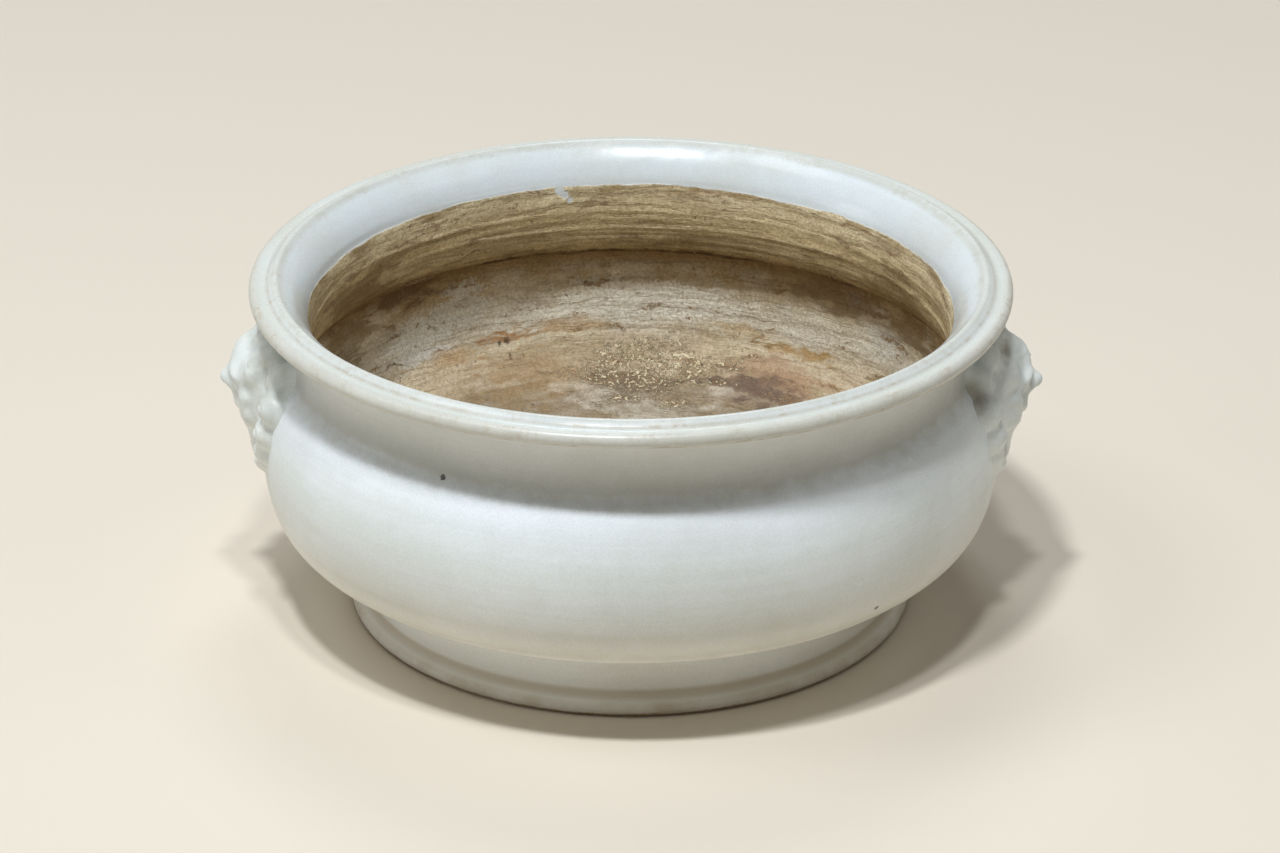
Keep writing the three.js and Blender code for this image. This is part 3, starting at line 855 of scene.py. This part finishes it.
def press_clay():
    """The wall behind a mask and the lobes on it, all one glaze thickness too large."""
    mesh = bmesh.new()
    start = math.radians(-patch_turn)
    rows = [place for place in outside if 26.0 < place[1] < 67.0]
    front = []
    for before, place, after in zip(rows, rows[1:], rows[2:]):
        along = Vector((after[0] - before[0], after[1] - before[1])).normalized()
        front.append((place[0] + along.y * glaze_fill, place[1] - along.x * glaze_fill))
    loop = front + [(radius - patch_thickness, height) for radius, height in reversed(front)]
    points = [
        mesh.verts.new(Vector((radius * math.cos(start), radius * math.sin(start), height)) * mm)
        for radius, height in loop
    ]
    lines = [mesh.edges.new(pair) for pair in zip(points, points[1:] + points[:1])]
    bmesh.ops.spin(mesh, geom=points + lines, cent=(0, 0, 0), axis=(0, 0, 1), angle=-2 * start, steps=42)
    bmesh.ops.holes_fill(mesh, edges=mesh.edges, sides=0)
    bmesh.ops.recalc_face_normals(mesh, faces=mesh.faces)
    for (deep, across, up), size, tilt in lobes.values():
        for side in ((1,) if across == 0 else (-1, 1)):
            shape = Matrix.Translation(Vector((belly_radius + deep, side * across, mask_middle + up)) * mm)
            shape = shape @ Matrix.Rotation(math.radians(side * tilt), 4, "X")
            reach = Vector(size) + Vector((glaze_fill, glaze_fill, glaze_fill))
            shape = shape @ Matrix.Diagonal((*(reach * mm), 1.0))
            bmesh.ops.create_icosphere(mesh, subdivisions=4, radius=1.0, matrix=shape)
    for across, up, radius, out in curls:
        for side in (-1, 1):
            deep = wall_depth(across, mask_middle + up) + out
            shape = Matrix.Translation(Vector((deep, side * across, mask_middle + up)) * mm)
            bmesh.ops.create_icosphere(mesh, subdivisions=4, radius=(radius + glaze_fill) * mm, matrix=shape)
    return mesh


def knead(mesh):
    """One closed skin over all the lobes."""
    data = bpy.data.meshes.new("clay")
    mesh.to_mesh(data)
    mesh.free()
    lump = put_in_scene("clay", data)
    remesh = lump.modifiers.new("knead", "REMESH")
    remesh.mode = "VOXEL"
    remesh.voxel_size = voxel * mm
    skin = bpy.data.meshes.new_from_object(lump.evaluated_get(bpy.context.evaluated_depsgraph_get()))
    bpy.data.objects.remove(lump)
    made = bmesh.new()
    made.from_mesh(skin)
    return made


def dent(across, up, centre, size, depth):
    """How deep a round tool presses at a place, where its middle presses to the full depth."""
    away = ((abs(across) - centre[0]) / size[0]) ** 2 + ((up - centre[1]) / size[1]) ** 2
    return depth * math.exp(-away * 1.6)


def carve(mesh):
    """The mould's finer lines: mouth, nostrils, eyes, brow, beard and the spirals of the mane."""
    mesh.normal_update()
    moves = []
    for vert in mesh.verts:
        across, up = vert.co.y / mm, vert.co.z / mm - mask_middle
        cut = dent(across, up, (1.9, 1.9), (0.8, 0.6), 1.2) + dent(across, up, (5.4, 4.4), (0.7, 0.7), 0.6)
        # The mouth curls up at its corners, under the whisker pads
        mouth_up = -3.6 + 0.035 * across * across
        if abs(across) < 8.6:
            cut += 1.4 * math.exp(-((up - mouth_up) / 0.65) ** 2) * min(1.0, (8.6 - abs(across)) / 2.0)
        # A groove divides the upper lip under the nose
        if -3.4 < up < 1.6:
            cut += 0.7 * math.exp(-(across / 0.55) ** 2)
        # Lids run round the eyes
        eye = math.hypot((abs(across) - 5.4) / 2.5, (up - 4.6) / 2.1)
        cut += 0.55 * math.exp(-((eye - 1.0) / 0.16) ** 2)
        # A furrow runs up the forehead, between folds over the brows
        if up > 6.5:
            fold = math.hypot(abs(across) - 3.6, up - 6.0)
            depth = 0.5 * math.exp(-(across / 0.6) ** 2)
            if fold < 6.0:
                depth += 0.22 * max(0.0, math.sin(fold * 3.1))
            cut += depth * min(1.0, (up - 6.5) / 1.5)
        # Strands in the beard
        if up < -7.0 and abs(across) < 7.0:
            cut += 0.22 * max(0.0, math.sin(across * 4.6)) * min(1.0, (-7.0 - up) / 1.5)
        # Each curl of the mane is a spiral
        for curl_across, curl_up, radius, _ in curls:
            sideways, rise = abs(across) - curl_across, up - curl_up
            away = math.hypot(sideways, rise)
            if away < radius * 1.05:
                turn = math.atan2(rise, sideways) + away * math.tau / 1.9
                cut += 0.45 * max(0.0, math.cos(turn)) * min(1.0, (radius * 1.05 - away) / 0.6)
        moves.append((vert, vert.normal * (-cut * max(vert.normal.x, 0.0) * mm)))
    for vert, shift in moves:
        vert.co += shift


def cut_from_wall(mesh):
    """Keeps what stands out from the wall, and lets its edge run out just under the wall's surface."""
    thin, thick, sink = 0.1, 1.0, 0.55
    stands = {}
    for vert in mesh.verts:
        place = vert.co / mm
        stands[vert] = math.hypot(place.x, place.y) - wall_radius(place.z)
    flat = [face for face in mesh.faces if max(stands[vert] for vert in face.verts) < thin]
    edge_of_patch = []
    for face in mesh.faces:
        place = face.calc_center_median() / mm
        if abs(place.z - mask_middle) > patch_half_height or abs(place.y) > patch_half_width:
            edge_of_patch.append(face)
    bmesh.ops.delete(mesh, geom=list(set(flat + edge_of_patch)), context="FACES")
    reached = {max(mesh.faces, key=lambda face: face.calc_center_median().x)}
    front = list(reached)
    while front:
        face = front.pop()
        for edge in face.edges:
            for other in edge.link_faces:
                if other not in reached:
                    reached.add(other)
                    front.append(other)
    bmesh.ops.delete(mesh, geom=[face for face in mesh.faces if face not in reached], context="FACES")
    for vert in mesh.verts:
        place = vert.co / mm
        radius = math.hypot(place.x, place.y)
        share = min(max((radius - wall_radius(place.z) - thin) / (thick - thin), 0.0), 1.0)
        sunk = radius - sink * (1.0 - share) ** 2
        vert.co.x *= sunk / radius
        vert.co.y *= sunk / radius


def mark_hollows(mesh):
    """Stores how hollow each place of the face is, where the colour turns darker and bluer."""
    mesh.normal_update()
    before = [(vert.co.copy(), vert.normal.copy()) for vert in mesh.verts]
    smoothed = mesh.copy()
    soften(smoothed, smoothed.verts, 14)
    hollow = mesh.verts.layers.float.new("hollow")
    for vert, soft, (place, normal) in zip(mesh.verts, smoothed.verts, before):
        vert[hollow] = (soft.co - place).dot(normal) / mm
    smoothed.free()


def close_back(mesh):
    """Closes a mask inside the wall, behind its sunken edge."""
    rim = [edge for edge in mesh.edges if edge.is_boundary]
    made = bmesh.ops.extrude_edge_only(mesh, edges=rim)["geom"]
    inner = [item for item in made if isinstance(item, bmesh.types.BMVert)]
    bmesh.ops.pointmerge(mesh, verts=inner, merge_co=Vector((closing_radius, 0.0, mask_middle)) * mm)
    bmesh.ops.recalc_face_normals(mesh, faces=mesh.faces)


pressed = knead(press_clay())
soften(pressed, pressed.verts, 6)
shift_all(pressed, -glaze_fill)
soften(pressed, pressed.verts, 4)
carve(pressed)
soften(pressed, pressed.verts, 8)
cut_from_wall(pressed)
mark_hollows(pressed)
close_back(pressed)

mask_finish, tree, shader, place = new_material("mask_glaze")
hollow = add(tree, "Attribute", attribute_name="hollow").outputs["Fac"]
darker_in_hollows = step_up(tree, hollow, 0.02, 0.22)
proud = step_up(tree, hollow, -0.05, -0.3)
patches = cloudy(tree, place, 6.0, 0.44, 0.66)
# Painted light: the masks' colour is lighter and bluer low down and greyer towards the top, a painted shade
# under the lip
thick = ramp_up(tree, height_of(tree, place), (
    (32.0, srgb(240, 243, 242)), (42.0, srgb(234, 239, 238)),
    (50.0, srgb(222, 229, 228)), (60.0, srgb(220, 227, 225)),
))
thin = blend(tree, 1.0, thick, srgb(240, 238, 230), "MULTIPLY")
skin = use(tree, glaze, {
    "Place": place, "Clear": thick, "Cloudy": thin, "Dirt": srgb(150, 146, 130),
    "Wear": both(tree, patches, 0.12)})
# Darker and bluer in the hollows of the face
colour = blend(tree, both(tree, darker_in_hollows, 0.45), skin["Color"], srgb(168, 180, 180))
# Dark brown spots where the masks meet the neck, under the lip: painted shade in those corners, with some
# grime
recess_place = fray(tree, place, 4.0, 1.5)
recess = most(
    tree,
    spot(tree, recess_place, (70.3, -21.0, 54.8), 1.5, 3.5),
    spot(tree, recess_place, (77.6, -5.8, 58.6), 0.7, 2.2),
    both(tree, spot(tree, recess_place, (-74.6, -11.0, 56.6), 1.0, 5.0), 0.35),
)
colour = blend(tree, both(tree, recess, 0.7), colour, srgb(118, 106, 84))
colour = blend(tree, both(tree, proud, 0.35), colour, srgb(232, 232, 224))
tree.links.new(colour, shader.inputs["Base Color"])
tree.links.new(skin["Roughness"], shader.inputs["Roughness"])
give_relief(tree, shader, skin["Height"], 0.03)

# Mask slip
# The slip that stuck each mask on was squeezed out round it and smoothed down to a low oval,
# which feathers out on the wall under the glaze.

pad_half_width = 17.6
pad_half_height = 15.4


def slip_pad(turn):
    """The squeezed-out slip round a mask: a low oval that feathers out on the wall."""
    mesh = bmesh.new()
    half = [
        (0.0, 0.55), (0.8, 0.55), (0.9, 0.45), (0.97, 0.2),
        (1.0, 0.0), (1.04, -0.25), (0.9, -0.4), (0.0, -0.4),
    ]
    points = [mesh.verts.new((thick * mm, share * mm, 0.0)) for share, thick in half]
    lines = [mesh.edges.new(pair) for pair in zip(points, points[1:])]
    bmesh.ops.subdivide_edges(mesh, edges=lines, cuts=3)
    bmesh.ops.spin(mesh, geom=mesh.verts[:] + mesh.edges[:], cent=(0, 0, 0), axis=(1, 0, 0), angle=math.tau,
                   steps=96, use_merge=True)
    close_up(mesh)
    for vert in mesh.verts:
        across, up = vert.co.y / mm * pad_half_width, vert.co.z / mm * pad_half_height
        angle = math.atan2(up, across)
        wavy = 1.0 + 0.03 * math.sin(5 * angle) + 0.02 * math.sin(9 * angle + 1.0)
        across, up = across * wavy, up * wavy
        depth = wall_depth(across, mask_middle + up) + vert.co.x / mm
        vert.co = Vector((depth, across, mask_middle + up)) * mm
    bmesh.ops.recalc_face_normals(mesh, faces=mesh.faces)
    bmesh.ops.rotate(mesh, verts=mesh.verts, matrix=Matrix.Rotation(turn, 3, "Z"))
    return mesh


for side, turn, worn in (("right", 0.0, 0), ("left", math.pi, 50)):
    face = pressed.copy()
    # The left one's nose and brow came out blunter
    tips = [vert for vert in face.verts if vert.co.x > (belly_radius + 2.5) * mm]
    soften(face, tips, worn)
    bmesh.ops.rotate(face, verts=face.verts, matrix=Matrix.Rotation(turn, 3, "Z"))
    make_piece(f"{side}_lion_mask", face, [mask_finish], [f"lion_mask_{side}"])
    make_piece(f"{side}_mask_seam", slip_pad(turn), [mask_finish], [f"{side}_mask_slip"])

# Floor and light
# A plain pale floor, under two small lamps above the front, with wide soft light from all
# sides, most from the left. The room beyond the lamps is dim, but looks as pale as the floor.

floor_size = 6.0
lamp_distance = 1.6
cool_light = (0.95, 0.985, 1.03)
lamp_aim = Vector((0.0, 0.0, 0.04))

floor_mesh = bmesh.new()
bmesh.ops.create_circle(floor_mesh, cap_ends=True, segments=96, radius=floor_size)
floor_data = bpy.data.meshes.new("floor")
floor_mesh.to_mesh(floor_data)
floor_mesh.free()
floor_material = bpy.data.materials.new("pale_floor")
floor_material.use_nodes = True
floor_shader = next(node for node in floor_material.node_tree.nodes if node.type == "BSDF_PRINCIPLED")
floor_shader.inputs["Base Color"].default_value = srgb(217, 208, 193)
floor_shader.inputs["Roughness"].default_value = 0.9
floor_shader.inputs["Specular IOR Level"].default_value = 0.1
floor_data.materials.append(floor_material)
floor = put_in_scene("floor", floor_data)


def studio_lamp(name, direction, tilt, width, energy):
    """A soft round lamp that faces the bowl, off the upright by a tilt in degrees."""
    lamp = bpy.data.lights.new(name, "AREA")
    lamp.shape = "DISK"
    lamp.size = width
    lamp.energy = energy
    lamp.color = cool_light
    lean = math.radians(tilt)
    level = Vector(direction).normalized() * math.sin(lean)
    place = lamp_aim + lamp_distance * Vector((level.x, level.y, math.cos(lean)))
    put_in_scene(name, lamp).matrix_world = aimed(place, lamp_aim)


studio_lamp("main_lamp", (-0.48, -1.0), 20.2, 0.14, 14.4)
studio_lamp("second_lamp", (0.03, -1.0), 18.5, 0.14, 7.1)
studio_lamp("back_lamp", (0.0, 1.0), 30, 0.6, 5.8)
studio_lamp("low_front_lamp", (0.0, -1.0), 72, 1.0, 1.25)
studio_lamp("left_lamp", (-1.0, -0.1), 30, 0.6, 4.4)
studio_lamp("left_window", (-1.0, -0.1), 77, 0.66, 3.4)
studio_lamp("right_lamp", (1.0, -0.1), 40, 0.8, 2.1)

world = bpy.data.worlds.new("pale_room")
world.use_nodes = True
tree = world.node_tree
room = next(node for node in tree.nodes if node.type == "BACKGROUND")
room.inputs["Color"].default_value = (1.0, 0.96, 0.9, 1.0)
room.inputs["Strength"].default_value = 0.04
seen = add(tree, "Background", {"Color": srgb(226, 220, 208), "Strength": 1.0})
path = add(tree, "LightPath").outputs
seen_by = most(tree, path["Is Camera Ray"], path["Is Glossy Ray"])
mix = add(tree, "MixShader", {0: seen_by, 1: room.outputs[0], 2: seen.outputs[0]})
output = next(node for node in tree.nodes if node.type == "OUTPUT_WORLD")
tree.links.new(mix.outputs[0], output.inputs["Surface"])
scene.world = world
